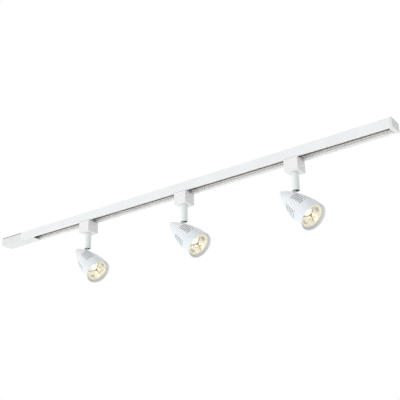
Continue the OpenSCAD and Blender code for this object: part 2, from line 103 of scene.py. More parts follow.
def outward(piece, weld=1e-6):
    # Points nearer than the weld are merged, then every face of the closed shape is turned
    # to point outwards
    work = bmesh.new()
    work.from_mesh(piece.data)
    bmesh.ops.remove_doubles(work, verts=work.verts, dist=weld)
    bmesh.ops.recalc_face_normals(work, faces=work.faces)
    work.to_mesh(piece.data)
    work.free()
    return piece


def smooth(piece, limit=35):
    # Faces shade smoothly, apart from edges sharper than the limit in degrees
    piece.data.polygons.foreach_set("use_smooth", np.ones(len(piece.data.polygons), bool))
    piece.data.set_sharp_from_angle(angle=math.radians(limit))
    return piece


def withModifier(piece, kind, **settings):
    modifier = piece.modifiers.new(kind.title(), kind)
    for key, value in settings.items():
        setattr(modifier, key, value)
    return piece


def settled(piece):
    # The result of the modifiers becomes the piece's own mesh
    scene = bpy.context.evaluated_depsgraph_get()
    data = bpy.data.meshes.new_from_object(piece.evaluated_get(scene), depsgraph=scene,
                                           preserve_all_data_layers=True)
    piece.modifiers.clear()
    piece.data = data
    return piece


def rounded(piece, width, limit=40, shading=50):
    # Edges sharper than the limit are rounded over width millimetres; the flat faces keep
    # flat shading
    withModifier(piece, "BEVEL", width=width * mm, segments=2, limit_method="ANGLE",
                 angle_limit=math.radians(limit), use_clamp_overlap=False)
    smooth(piece, shading)
    withModifier(piece, "WEIGHTED_NORMAL", keep_sharp=True)
    return settled(piece)


def turned(name, profile, place, sides=96, closed=True):
    # Each (radius, distance back) of the profile is carried round the axis:
    # x = radius cos(angle), y = radius sin(angle). A closed profile joins its end to its start,
    # and otherwise its two ends lie on the axis, where the points merge into a pole.
    profile = np.array(profile, float)
    if closed:
        profile = np.vstack([profile, profile[:1]])
    angle = np.linspace(0, 2 * math.pi, sides, endpoint=False)
    x = profile[:, :1] * np.cos(angle)
    y = profile[:, :1] * np.sin(angle)
    points = place(x, y, profile[:, 1:] + 0 * x).reshape(-1, 3)
    return outward(buildMesh(name, points, gridFaces(len(profile), sides)))


def arcPoints(centre, radius, start, end, count):
    # Points on an arc, as (radius, distance) pairs; start and end in degrees
    angle = np.radians(np.linspace(start, end, count))
    return np.stack([centre[0] + radius * np.cos(angle), centre[1] + radius * np.sin(angle)], -1)


class Wire:
    # One output in a material; sums and products of wires and numbers add Math nodes
    def __init__(self, finish, socket):
        self.finish = finish
        self.socket = socket

    def calculate(self, operation, first, second):
        return self.finish.add("ShaderNodeMath", {"operation": operation}, {0: first, 1: second})

    def __add__(self, other):
        return self.calculate("ADD", self, other)

    def __mul__(self, other):
        return self.calculate("MULTIPLY", self, other)

    __radd__ = __add__
    __rmul__ = __mul__


class Finish:
    # A material with one Principled shader; constants go on the shader's own sockets
    def __init__(self, name, **constants):
        self.material = bpy.data.materials.new(name)
        self.material.use_nodes = True
        self.tree = self.material.node_tree
        self.tree.nodes.clear()
        self.shader = self.tree.nodes.new("ShaderNodeBsdfPrincipled")
        output = self.tree.nodes.new("ShaderNodeOutputMaterial")
        self.tree.links.new(self.shader.outputs[0], output.inputs["Surface"])
        for key, value in constants.items():
            self.shader.inputs[key.replace("_", " ")].default_value = value

    def add(self, kind, settings, inputs, output=0):
        # Any node, from its type, its settings and the values or wires of its inputs
        node = self.tree.nodes.new(kind)
        for key, value in settings.items():
            if key == "stops":
                self.setStops(node.color_ramp, value)
            else:
                setattr(node, key, value)
        for key, value in inputs.items():
            self.plug(node.inputs[key], value)
        return Wire(self, node.outputs[output])

    def setStops(self, ramp, stops):
        while len(ramp.elements) < len(stops):
            ramp.elements.new(1)
        for element, (position, colour) in zip(ramp.elements, stops):
            element.position = position
            element.color = (*colour, 1)

    def plug(self, socket, value):
        if isinstance(value, Wire):
            self.tree.links.new(value.socket, socket)
        else:
            socket.default_value = value

    def feed(self, **inputs):
        # Wires into the shader's own sockets
        for key, value in inputs.items():
            self.plug(self.shader.inputs[key.replace("_", " ")], value)

    def noise(self, grain, detail=3, stretch=(1, 1, 1), rough=0.5):
        # Cloudy values with features about one grain across, in millimetres, longer where
        # stretch is above 1
        place = self.add("ShaderNodeTexCoord", {}, {}, "Object")
        place = self.add("ShaderNodeMapping", {},
                         {"Vector": place, "Scale": tuple(1 / side for side in stretch)})
        return self.add("ShaderNodeTexNoise", {}, {
            "Vector": place, "Scale": 1 / (grain * mm), "Detail": detail, "Roughness": rough})

    def cells(self, grain):
        # Distance from the nearest of many scattered points, about one grain apart
        place = self.add("ShaderNodeTexCoord", {}, {}, "Object")
        return self.add("ShaderNodeTexVoronoi", {},
                        {"Vector": place, "Scale": 1 / (grain * mm)}, "Distance")

    def between(self, value, low, high, start=0.0, end=1.0):
        # The value carried from low..high to start..end and held at the ends
        return self.add("ShaderNodeMapRange", {"clamp": True}, {
            "Value": value, "From Min": low, "From Max": high, "To Min": start, "To Max": end})

    def mix(self, share, first, second):
        # Colours go through a Mix node, whose colour sockets are 6 and 7 in and 2 out
        colour = [value if isinstance(value, Wire) else (*value, 1) for value in (first, second)]
        return self.add("ShaderNodeMix", {"data_type": "RGBA"},
                        {0: share, 6: colour[0], 7: colour[1]}, 2)

    def bump(self, height, depth):
        # Relief whose full height is depth millimetres
        return self.add("ShaderNodeBump", {}, {
            "Height": height, "Distance": depth * mm, "Strength": 1.0}, "Normal")


def powderCoat(name, colour, shadow, gloss, peel=0.03, drawn=None):
    # Baked powder coat: orange peel a millimetre across, fine grit, faint clouds of colour,
    # and specks of dust. A drawn part also shows faint lines along its extrusion.
    paint = Finish(name, IOR=1.5, Coat_IOR=1.5, Coat_Roughness=0.16)
    peelHeight = paint.noise(grain=1.3, detail=2)
    grit = paint.noise(grain=0.32, detail=2, rough=0.7)
    cloud = paint.noise(grain=38, detail=3)
    dust = paint.between(paint.noise(grain=2.6, detail=5, rough=0.75), 0.66, 0.8)
    tint = paint.mix(paint.between(cloud, 0.3, 0.7), colour, shadow)
    tint = paint.mix(dust * 0.22, tint, (0.52, 0.50, 0.46))
    height = peelHeight + grit * 0.35
    if drawn:
        lines = paint.noise(grain=0.9, detail=3, stretch=drawn)
        height = height + lines * 0.5
        tint = paint.mix(paint.between(lines, 0.45, 0.75) * 0.12, tint, shadow)
    paint.feed(Base_Color=tint,
               Roughness=paint.between(peelHeight + grit, 0.6, 1.4, gloss - 0.06, gloss + 0.08)
               + dust * 0.2,
               Coat_Weight=paint.between(cloud, 0.25, 0.75, 0.12, 0.3),
               Normal=paint.bump(height, peel))
    return paint.material


def mouldedPlastic(name, colour, shadow, gloss, texture=0.02):
    # Moulded plastic: a spark-eroded texture of fine pits, slow flow marks and handling marks
    plastic = Finish(name, IOR=1.49)
    pits = plastic.cells(0.5)
    grit = plastic.noise(grain=0.25, detail=2, rough=0.6)
    flow = plastic.noise(grain=16, detail=4, stretch=(1, 1, 2.5), rough=0.6)
    marks = plastic.noise(grain=5, detail=6, stretch=(3, 1, 1), rough=0.7)
    scuff = plastic.between(marks, 0.6, 0.78)
    tint = plastic.mix(plastic.between(flow, 0.3, 0.7), colour, shadow)
    plastic.feed(Base_Color=plastic.mix(scuff * 0.15, tint, shadow),
                 Roughness=plastic.between(flow, 0.3, 0.7, gloss - 0.04, gloss + 0.06)
                 + scuff * 0.12,
                 Normal=plastic.bump(pits * 0.6 + grit, texture))
    return plastic.material


def workedMetal(name, colour, tarnish, gloss, stretch=(1, 1, 1), amount=0.4, grain=0.35):
    # Drawn, stamped or turned metal: fine lines along the stretch, with patches of tarnish
    metal = Finish(name, Metallic=1.0)
    lines = metal.noise(grain=grain, detail=3, stretch=stretch, rough=0.6)
    patch = metal.between(metal.noise(grain=9, detail=5, rough=0.65), 0.42, 0.7)
    spots = metal.between(metal.cells(2.2), 0.0, 0.22, 1, 0)
    tint = metal.mix(patch * amount, colour, tarnish)
    metal.feed(Base_Color=metal.mix(spots * 0.3, tint, tarnish),
               Roughness=metal.between(lines, 0.3, 0.7, gloss - 0.07, gloss + 0.1) + patch * 0.12,
               Normal=metal.bump(lines, 0.012))
    return metal.material


def firedCeramic(name, colour, shadow):
    # Steatite: a chalky glaze with pinholes, dark specks and a slow change of tone
    body = Finish(name, IOR=1.55)
    cloud = body.noise(grain=7, detail=4)
    specks = body.between(body.cells(1.1), 0.06, 0.13, 1, 0)
    pinholes = body.between(body.cells(0.7), 0.0, 0.2)
    tint = body.mix(body.between(cloud, 0.3, 0.7), colour, shadow)
    body.feed(Base_Color=body.mix(specks * 0.45, tint, (0.30, 0.25, 0.19)),
              Roughness=body.between(cloud, 0.3, 0.7, 0.42, 0.62),
              Normal=body.bump(pinholes + cloud * 0.4, 0.03))
    return body.material


# The finishes: each has two near tones that its pattern mixes, and gloss is its roughness
trackPaint = powderCoat("trackPowderCoat", (0.83, 0.86, 0.87), (0.79, 0.82, 0.835),
                        gloss=0.36, peel=0.02, drawn=(140, 1, 1))
shadePaint = powderCoat("shadePowderCoat", (0.79, 0.83, 0.87), (0.75, 0.795, 0.835),
                        gloss=0.34, peel=0.025)
stemPaint = powderCoat("stemPowderCoat", (0.84, 0.86, 0.865), (0.80, 0.82, 0.83),
                       gloss=0.36, peel=0.02)
adapterPlastic = mouldedPlastic("adapterWhitePlastic", (0.85, 0.86, 0.85), (0.81, 0.82, 0.81),
                                gloss=0.42)
housingPlastic = mouldedPlastic("housingWhitePlastic", (0.77, 0.79, 0.79), (0.73, 0.75, 0.75),
                                gloss=0.45)
insulatorPlastic = mouldedPlastic("insulatorPalePlastic", (0.90, 0.90, 0.885),
                                  (0.86, 0.86, 0.845), gloss=0.5, texture=0.012)
trayPlastic = mouldedPlastic("trayDarkPlastic", (0.085, 0.087, 0.09), (0.06, 0.062, 0.066),
                             gloss=0.5)
pivotPlastic = mouldedPlastic("pivotBlackPlastic", (0.10, 0.10, 0.102), (0.075, 0.075, 0.078),
                              gloss=0.42)
tabPlastic = mouldedPlastic("tabGreyPlastic", (0.58, 0.59, 0.59), (0.52, 0.53, 0.53), gloss=0.46)
terminalPlastic = mouldedPlastic("terminalCreamPlastic", (0.72, 0.69, 0.60), (0.66, 0.63, 0.54),
                                 gloss=0.5)
trackCopper = workedMetal("drawnCopper", (0.50, 0.38, 0.31), (0.22, 0.17, 0.14), gloss=0.36,
                          stretch=(60, 1, 1), amount=0.5)
contactBrass = workedMetal("stampedBrass", (0.83, 0.64, 0.32), (0.42, 0.30, 0.14), gloss=0.3,
                           stretch=(1, 1, 6))
brightSteel = workedMetal("zincPlatedSteel", (0.72, 0.73, 0.75), (0.48, 0.49, 0.52), gloss=0.28,
                          stretch=(1, 1, 5))
springSteel = workedMetal("drawnSpringSteel", (0.55, 0.55, 0.57), (0.30, 0.29, 0.29), gloss=0.24,
                          stretch=(4, 4, 1), amount=0.3, grain=0.2)
holderCeramic = firedCeramic("steatiteWhite", (0.80, 0.77, 0.70), (0.74, 0.70, 0.62))
lampCeramic = firedCeramic("lampBaseCeramic", (0.84, 0.83, 0.79), (0.78, 0.77, 0.72))
print("materials ready")


# Place in metres, angles in radians, lens and sensor in millimetres
cameraSet = dict(place=(0.928299, -1.235506, -0.666145), yaw=0.616134, pitch=0.388866,
                 roll=-0.0234104, lens=67.83, sensor=36, nearest=0.01)


def makeCamera(s):
    data = bpy.data.cameras.new("camera")
    data.lens = s["lens"]
    data.sensor_width = s["sensor"]
    data.clip_start = s["nearest"]
    camera = bpy.data.objects.new("camera", data)
    bpy.context.scene.collection.objects.link(camera)
    camera.matrix_world = (Matrix.Translation(s["place"]) @ Matrix.Rotation(s["yaw"], 4, "Z")
                           @ Matrix.Rotation(math.pi / 2 + s["pitch"], 4, "X")
                           @ Matrix.Rotation(s["roll"], 4, "Z"))
    bpy.context.scene.camera = camera


# Places and sizes in metres, powers in watts; both softboxes face the target
lightSet = dict(base=1.27, slope=(-0.60, -0.14, -0.26), most=1.42, backdrop=(1, 1, 1),
                keyPlace=(-1.7, -2.3, -0.9), keySize=1.6, keyPower=4,
                rimPlace=(1.9, 1.2, 0.8), rimSize=1.0, rimPower=3, target=(0, 0, -0.08))


def makeWorld(s):
    # Light from all round that changes evenly with direction, base + slope . direction and
    # never over its most, seen against a plain white backdrop
    world = bpy.data.worlds.new("studio")
    bpy.context.scene.world = world
    world.use_nodes = True
    nodes, links = world.node_tree.nodes, world.node_tree.links
    nodes.clear()
    direction = nodes.new("ShaderNodeTexCoord")
    along = nodes.new("ShaderNodeVectorMath")
    along.operation = "DOT_PRODUCT"
    along.inputs[1].default_value = s["slope"]
    level = nodes.new("ShaderNodeMath")
    level.operation = "ADD"
    level.inputs[1].default_value = s["base"]
    limited = nodes.new("ShaderNodeMath")
    limited.operation = "MINIMUM"
    limited.inputs[1].default_value = s["most"]
    soft = nodes.new("ShaderNodeBackground")
    plain = nodes.new("ShaderNodeBackground")
    plain.inputs[0].default_value = (*s["backdrop"], 1)
    path = nodes.new("ShaderNodeLightPath")
    choose = nodes.new("ShaderNodeMixShader")
    output = nodes.new("ShaderNodeOutputWorld")
    links.new(direction.outputs["Generated"], along.inputs[0])
    links.new(along.outputs["Value"], level.inputs[0])
    links.new(level.outputs[0], limited.inputs[0])
    links.new(limited.outputs[0], soft.inputs["Strength"])
    links.new(path.outputs["Is Camera Ray"], choose.inputs[0])
    links.new(soft.outputs[0], choose.inputs[1])
    links.new(plain.outputs[0], choose.inputs[2])
    links.new(choose.outputs[0], output.inputs["Surface"])


def makeSoftbox(kind, s):
    # A square area light, turned from its place to the target
    data = bpy.data.lights.new(kind + "Softbox", "AREA")
    data.size = s[kind + "Size"]
    data.energy = s[kind + "Power"]
    light = bpy.data.objects.new(kind + "Softbox", data)
    light.location = s[kind + "Place"]
    towards = Vector(s["target"]) - Vector(s[kind + "Place"])
    light.rotation_euler = towards.to_track_quat("-Z", "Y").to_euler()
    bpy.context.scene.collection.objects.link(light)


# In metres, apart from the grains, which are in millimetres
floorSet = dict(height=-2.6, half=30, swell=0.004, swellLength=4, points=41, cloudGrain=600,
                reliefGrain=4, relief=0.2, light=(0.90, 0.90, 0.895), dark=(0.86, 0.86, 0.86))


def makeFloor(s):
    # A wide square sheet; its height is a very low sine swell, zero under the fixture
    line = np.linspace(-s["half"], s["half"], s["points"])
    x, y = np.meshgrid(line, line, indexing="ij")
    length = s["swellLength"]
    z = s["height"] + s["swell"] * np.sin(x / length) * np.sin(y / length)
    floor = buildMesh("floor", np.stack([x, y, z], -1).reshape(-1, 3),
                      gridFaces(len(line), len(line), wrap=False))
    cover = Finish("paleFloor", Roughness=0.8)
    cloud = cover.noise(s["cloudGrain"], detail=4)
    cover.feed(Base_Color=cover.mix(cloud, s["light"], s["dark"]),
               Normal=cover.bump(cover.noise(s["reliefGrain"], detail=3), s["relief"]))
    floor.data.materials.append(cover.material)
    floor.visible_diffuse = False    # the light from below passes the floor
    floor.visible_glossy = False
    floor.visible_shadow = False


makeCamera(cameraSet)
makeWorld(lightSet)
for kind in ("key", "rim"):
    makeSoftbox(kind, lightSet)
makeFloor(floorSet)
bpy.context.scene.view_settings.view_transform = "Standard"
print("camera, light and floor ready")


# Points nearer than the weld, in metres, are joined, and faces flat to within some degrees merge
solidSet = dict(weld=2e-6, flat=0.4)


def softened(node, width, material, s):
    # A machined or moulded piece: a copy of the node with its triangles joined and its flat
    # faces merged, then its edges rounded
    source = frame["nodes"][node]
    work = bmesh.new()
    work.from_mesh(source.data)
    bmesh.ops.remove_doubles(work, verts=work.verts, dist=s["weld"])
    bmesh.ops.dissolve_limit(work, angle_limit=math.radians(s["flat"]), verts=work.verts,
                             edges=work.edges)
    data = bpy.data.meshes.new(node + "_finished")
    work.to_mesh(data)
    work.free()
    data.materials.clear()
    data.materials.append(material)
    data.polygons.foreach_set("material_index", np.zeros(len(data.polygons), np.int32))
    piece = bpy.data.objects.new(node + "_finished", data)
    bpy.context.scene.collection.objects.link(piece)
    rounded(piece, width)
    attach(piece, source["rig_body"])
    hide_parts(node)


# How far the edges of each node are rounded, its material and its slot
trackPieces = dict(
    track_profile=(0.35, trackPaint, "white_paint"),
    front_insulator=(0.2, insulatorPlastic, "insulator_plastic"),
    back_insulator=(0.2, insulatorPlastic, "insulator_plastic"),
    live_conductor=(0.2, trackCopper, "copper"),
    neutral_conductor=(0.2, trackCopper, "copper"),
    earth_conductor=(0.12, trackCopper, "copper"),
    live_end_housing=(0.4, housingPlastic, "white_plastic"),
    live_end_tray=(0.25, trayPlastic, "dark_plastic"),
    terminal_block=(0.3, terminalPlastic, "insulator_plastic"),
    live_end_contacts=(0.12, contactBrass, "contact_brass"),
    terminal_screws=(0.1, contactBrass, "contact_brass"),
    end_cap=(0.5, housingPlastic, "white_plastic"))
headPieces = dict(
    adapter_body=(0.45, adapterPlastic, "white_plastic"),
    adapter_base=(0.3, adapterPlastic, "white_plastic"),
    adapter_contacts=(0.15, contactBrass, "contact_brass"),
    lock_tab=(0.3, tabPlastic, "grey_plastic"),
    stem=(0.25, stemPaint, "white_paint"),
    stem_clip=(0.12, springSteel, "spring_steel"),
    pivot_block=(0.2, pivotPlastic, "dark_plastic"),
    pivot_pin=(0.2, brightSteel, "bright_steel"),
    shade_bracket=(0.15, stemPaint, "white_paint"),
    lampholder=(0.4, holderCeramic, "ceramic"),
    head_screws=(0.12, brightSteel, "bright_steel"),
    lamp_pins=(0.25, brightSteel, "bright_steel"))

for node, (width, material, slotName) in trackPieces.items():
    softened(node, width, material, solidSet)
for node, (width, material, slotName) in headPieces.items():
    for number in range(1, len(headNames) + 1):
        softened(f"{node}_{number}", width, material, solidSet)
print("machined and moulded pieces ready")


# Distances along a head are measured back from the shade's mouth, on the lamp's axis. Vents
# stand in groups evenly round the shade; angles are in degrees.
shadeSet = dict(lampRadius=25, ringGap=3.4, wall=1.2, length=102, tailRadius=5.2,
                tailRound=0.35, tailShort=0.3, pivotBack=77.4, pinAboveShade=11.9,
                ventGroups=4, ventTurn=45, ventCount=6, ventStart=27, ventPitch=6, ventWidth=3,
                ventHalfAngle=23, earWidth=4.4, earFront=73.2, earBack=81.6, earCorner=0.6,
                screwRadius=2.9, screwDepth=2, screwHole=1.5, lip=0.3, lipAngle=55, columns=360,
                rowCounts=(11, 44, 8, 12, 9))
mouthRadius = shadeSet["lampRadius"] + shadeSet["ringGap"] + shadeSet["wall"]
tailDrop = mouthRadius - shadeSet["tailRadius"]
curveRadius = (shadeSet["length"] ** 2 + tailDrop ** 2) / (2 * tailDrop)


def shadeRadius(back):
    # The shade's outline is an arc that leaves the mouth square to it
    return mouthRadius - curveRadius + np.sqrt(curveRadius ** 2 - np.square(back))


def headPlace(side):
    # The aimed frame of a head: distances back from the mouth run along -aim, x runs
    # towards the pin's side and y along the pin
    aim = Vector(joints[side + "_lamp_pull"]["axis"]).normalized()
    pin = Vector(joints[side + "_tilt"]["axis"]).normalized()
    towardsPin = aim.cross(pin)
    drop = float(shadeRadius(shadeSet["pivotBack"])) + shadeSet["pinAboveShade"]
    mouth = (Vector(joints[side + "_tilt"]["pos_m"]) + aim * shadeSet["pivotBack"] * mm
             - towardsPin * drop * mm)

    def place(x, y, back):
        x, y, back = np.broadcast_arrays(x, y, back)
        return (np.array(mouth) + x[..., None] * mm * np.array(towardsPin)
                + y[..., None] * mm * np.array(pin) - back[..., None] * mm * np.array(aim))
    return place


def shadeRows(s):
    # Distances back of the rows, on every vent's edges and on the ear slot's
    ventFront = s["ventStart"] - s["ventWidth"] / 2
    ventBack = ventFront + (s["ventCount"] - 1) * s["ventPitch"] + s["ventWidth"]
    edges = [0, ventFront, ventBack, s["earFront"], s["earBack"], s["length"]]
    rows = [np.linspace(start, end, count, endpoint=False)
            for start, end, count in zip(edges, edges[1:], s["rowCounts"])]
    return np.append(np.concatenate(rows), s["length"])


def shadeOpenings(s):
    # Each opening's turn round the axis and distance back, half its vent's angle, half its
    # straight sides across and along, and the radius of the border round them
    corner, alongEar = s["earCorner"], s["earBack"] - s["earFront"]
    vents = [(math.radians(s["ventTurn"] + 360 / s["ventGroups"] * group),
              s["ventStart"] + k * s["ventPitch"], math.radians(s["ventHalfAngle"]), 0, 0,
              s["ventWidth"] / 2)
             for group in range(s["ventGroups"]) for k in range(s["ventCount"])]
    ear = (0, (s["earFront"] + s["earBack"]) / 2, 0, s["earWidth"] / 2 - corner,
           alongEar / 2 - corner, corner)
    return [*vents, ear]


def makeShade(side, number, s):
    # The outer skin is radius(back) carried round the axis on a fine grid. Faces inside the
    # vents and the ear slot are left out, and the points round each opening move to its outline,
    # a line or small rectangle with a round border. The wall is then given its thickness.
    place = headPlace(side)
    rows = shadeRows(s)
    angle = np.radians(np.arange(s["columns"]) * 360 / s["columns"])
    back, turn = np.meshgrid(rows, angle, indexing="ij")
    radius = shadeRadius(back)
    kept = np.ones((len(rows) - 1, s["columns"]), bool)
    newBack, newTurn = back.copy(), turn.copy()
    for middle, centre, halfTurn, halfAcross, halfAlong, border in shadeOpenings(s):
        offset = (turn - middle + math.pi) % (2 * math.pi) - math.pi
        across = offset * radius
        reach = halfTurn * radius + halfAcross
        nearAcross = np.clip(across, -reach, reach)
        nearAlong = centre + np.clip(back - centre, -halfAlong, halfAlong)
        away = np.stack([across - nearAcross, back - nearAlong])
        distance = np.hypot(*away)
        face = (distance[:-1] + distance[1:]) / 2
        face = (face + np.roll(face, -1, axis=1)) / 2
        hollow = face < border
        touching = np.zeros_like(back, int)
        for downRow in (slice(0, -1), slice(1, None)):
            for shift in (0, 1):
                touching[downRow] += np.roll(hollow, shift, axis=1)
        rim = (touching > 0) & (touching < 4)
        scale = border / np.maximum(distance, 1e-6)
        movedAcross = nearAcross + away[0] * scale
        movedAlong = nearAlong + away[1] * scale
        newTurn = np.where(rim, middle + movedAcross / radius, newTurn)
        newBack = np.where(rim, movedAlong, newBack)
        kept &= ~hollow
    radius = shadeRadius(newBack)
    # The blunt tail: a rounded edge, the flat end and the sunk seat of its screw
    seat = s["length"] - s["screwDepth"]
    tail = np.array([(s["tailRadius"] - s["tailRound"], s["length"]),
                     (s["screwRadius"], s["length"]),
                     (s["screwRadius"], seat), (s["screwHole"], seat)])
    newBack[-1] -= s["tailShort"]
    radius = np.vstack([radius, np.repeat(tail[:, :1], s["columns"], 1)])
    newBack = np.vstack([newBack, np.repeat(tail[:, 1:], s["columns"], 1)])
    newTurn = np.vstack([newTurn, np.repeat(angle[None], len(tail), 0)])
    kept = np.vstack([kept, np.ones((len(tail), s["columns"]), bool)])
    points = place(radius * np.cos(newTurn), radius * np.sin(newTurn), newBack).reshape(-1, 3)
    faces = gridFaces(len(newBack), s["columns"])[kept.ravel()]
    used, faces = np.unique(faces, return_inverse=True)
    shade = buildMesh(f"shade_{number}_shell", points[used], faces.reshape(-1, 4))
    withModifier(shade, "SOLIDIFY", thickness=s["wall"] * mm, offset=-1, use_even_offset=True)
    shade.data.materials.append(shadePaint)
    rounded(shade, s["lip"], limit=s["lipAngle"])
    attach(shade, side + "_shade")
    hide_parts(f"shade_{number}")


for number, side in enumerate(headNames, 1):
    makeShade(side, number, shadeSet)
print("shades ready")


# The lamp's shared sizes: radii, and distances back from the shade's mouth
lampSet = dict(face=4.5, radius=25, lens=1.4, lensRadius=23.7, rim=8.1, neckRadius=12,
               neckBack=32.5, neckEnd=32.8, wall=1.3)


def bowlRadius(share, rimRadius, neckRadius):
    # A bowl that leaves its rim along the axis and closes in to its neck
    return neckRadius + (rimRadius - neckRadius) * np.sqrt(1 - np.square(share))


def lampGlass(name, glow, tone, warm, cool):
    # Pressed glass with a dichroic layer that lets some of the lamp's light out; tone is
    # how much of the room's light it returns
    glass = Finish(name, Metallic=0.25, Coat_Weight=0.5, Coat_Roughness=0.06,
                   Emission_Strength=glow)
    ripple = glass.noise(grain=3.5, detail=2)
    band = glass.between(glass.noise(grain=11, detail=3), 0.3, 0.7)
    returned = [tuple(channel * tone for channel in colour) for colour in (warm, cool)]
    glass.feed(Base_Color=glass.mix(band, *returned),
               Roughness=glass.between(ripple, 0.3, 0.7, 0.12, 0.24),
               Emission_Color=glass.mix(band, warm, cool),
               Normal=glass.bump(ripple, 0.1))
    return glass.material


def litFacets():
    # The mirror's facets: each has its own share of the lamp's light, from tan to white, a painted
    # reflection of the capsule's light that sets both the facet's colour and its glow
    mirror = Finish("litMirrorFacets", Metallic=0.9, Emission_Strength=1.0)
    glow = mirror.add("ShaderNodeAttribute", {"attribute_name": "glow"}, {}, "Fac")
    haze = mirror.noise(grain=1.6, detail=3)
    level = mirror.between(glow + haze * 0.12, 0.06, 1.06)
    stops = [(0.0, (0.01, 0.008, 0.005)), (0.5, (0.06, 0.055, 0.045)),
             (0.75, (0.25, 0.25, 0.22)), (1.0, (0.50, 0.51, 0.48))]
    light = mirror.add("ShaderNodeValToRGB", {"stops": stops}, {"Fac": level}, "Color")
    mirror.feed(Base_Color=mirror.mix(level, (0.30, 0.24, 0.15), (0.66, 0.62, 0.50)),
                Roughness=mirror.between(haze, 0.3, 0.7, 0.14, 0.26),
                Emission_Color=light,
                Normal=mirror.bump(haze, 0.02))
    return mirror.material


def lensGlass():
    # Clear cover glass with patches of dust and a slight ripple
    cover = Finish("clearCoverGlass", IOR=1.5, Base_Color=(0.95, 0.96, 0.96, 1),
                   Coat_Weight=0.3)
    dust = cover.between(cover.noise(grain=1.8, detail=5, rough=0.7), 0.5, 0.8)
    cover.feed(Roughness=cover.between(dust, 0, 1, 0.05, 0.3),
               Alpha=cover.between(dust, 0, 1, 0.10, 0.2),
               Normal=cover.bump(cover.noise(grain=5, detail=2), 0.08))
    return cover.material


def capsuleGlow():
    # The burning capsule's glow, which swirls slowly between white and amber
    quartz = Finish("burningCapsule", Roughness=0.1, Emission_Strength=1.5)
    swirl = quartz.noise(grain=2.4, detail=3)
    quartz.feed(Base_Color=quartz.mix(swirl, (1.0, 0.93, 0.78), (0.95, 0.84, 0.62)),
                Emission_Color=quartz.mix(swirl, (1.0, 0.96, 0.84), (1.0, 0.84, 0.55)))
    return quartz.material


bowlMaterial = lampGlass("dichroicBowlGlass", glow=1.0, tone=0.15,
                         warm=(0.66, 0.64, 0.60), cool=(0.60, 0.60, 0.60))
rimMaterial = lampGlass("pressedRimGlass", glow=0.5, tone=1.0,
                        warm=(0.62, 0.55, 0.38), cool=(0.56, 0.51, 0.40))
facetMaterial = litFacets()
lensMaterial = lensGlass()
capsuleMaterial = capsuleGlow()
capMaterial = workedMetal("bronzedGlareCap", (0.42, 0.31, 0.19), (0.22, 0.15, 0.09), gloss=0.34)


def dress(piece, material, side, node=None):
    # The last steps of every lamp piece: its material and its body, and the node it stands in for
    # is hidden
    piece.data.materials.append(material)
    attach(piece, side + "_lamp")
    if node:
        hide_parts(node)


bowlSet = dict(lampSet, rimStep=1, poleShare=0.985, rows=14, neckStep=0.6,
               corner=0.5, cornerSteps=5, lensGap=0.2, shading=40)


def makeBowl(side, number, place, s):
    # The lamp's glass in two turned pieces that meet behind the rim: the bowl, as a closed
    # outline of its outside, neck and inside, and the rim that holds the cover glass
    front = s["face"] + s["lens"]
    outside, hole, corner = s["radius"] - s["rimStep"], s["neckRadius"] / 2, s["corner"]
    inside = outside - s["wall"]
    share = np.linspace(0, s["poleShare"], s["rows"])
    outer = np.stack([bowlRadius(share, outside, s["neckRadius"]),
                      s["rim"] + share * (s["neckBack"] - s["rim"])], -1)
    depth = s["neckBack"] - s["wall"] - front
    share = np.linspace((s["rim"] - front) / depth, s["poleShare"], s["rows"])
    inner = np.stack([bowlRadius(share, inside, hole), front + share * depth], -1)
    neck = [(s["neckRadius"] - s["neckStep"], s["neckEnd"]), (hole, s["neckEnd"])]
    bowl = turned(f"lamp_{number}_bowl", np.vstack([outer, neck, inner[::-1]]), place)
    dress(smooth(bowl, s["shading"]), bowlMaterial, side, f"lamp_body_{number}")
    edge = s["radius"] - corner
    outline = np.vstack([[(s["lensRadius"] + s["lensGap"], front)],
                         arcPoints((edge, s["face"] + corner), corner, -90, 0, s["cornerSteps"]),
                         arcPoints((edge, s["rim"] - corner), corner, 0, 90, s["cornerSteps"]),
                         [(inside, s["rim"]), (inside, front)]])
    rim = turned(f"lamp_{number}_rim", outline, place)
    dress(smooth(rim, s["shading"]), rimMaterial, side)


# The gaps keep the mirror's skin off the glass; a shadow's width is in degrees, and its depth
# and length are shares of the mirror's depth
mirrorSet = dict(lampSet, rings=11, columns=40, poleShare=0.97, rimStep=1.3, frontGap=0.1,
                 depthGap=0.4, sideGap=0.15, skin=0.12, brightness=0.9, spread=0.1, shadows=6,
                 shadowTurn=40, shadowDepth=0.34, shadowWidth=15, shadowLength=0.17,
                 shadowStrength=0.75, seed=11)


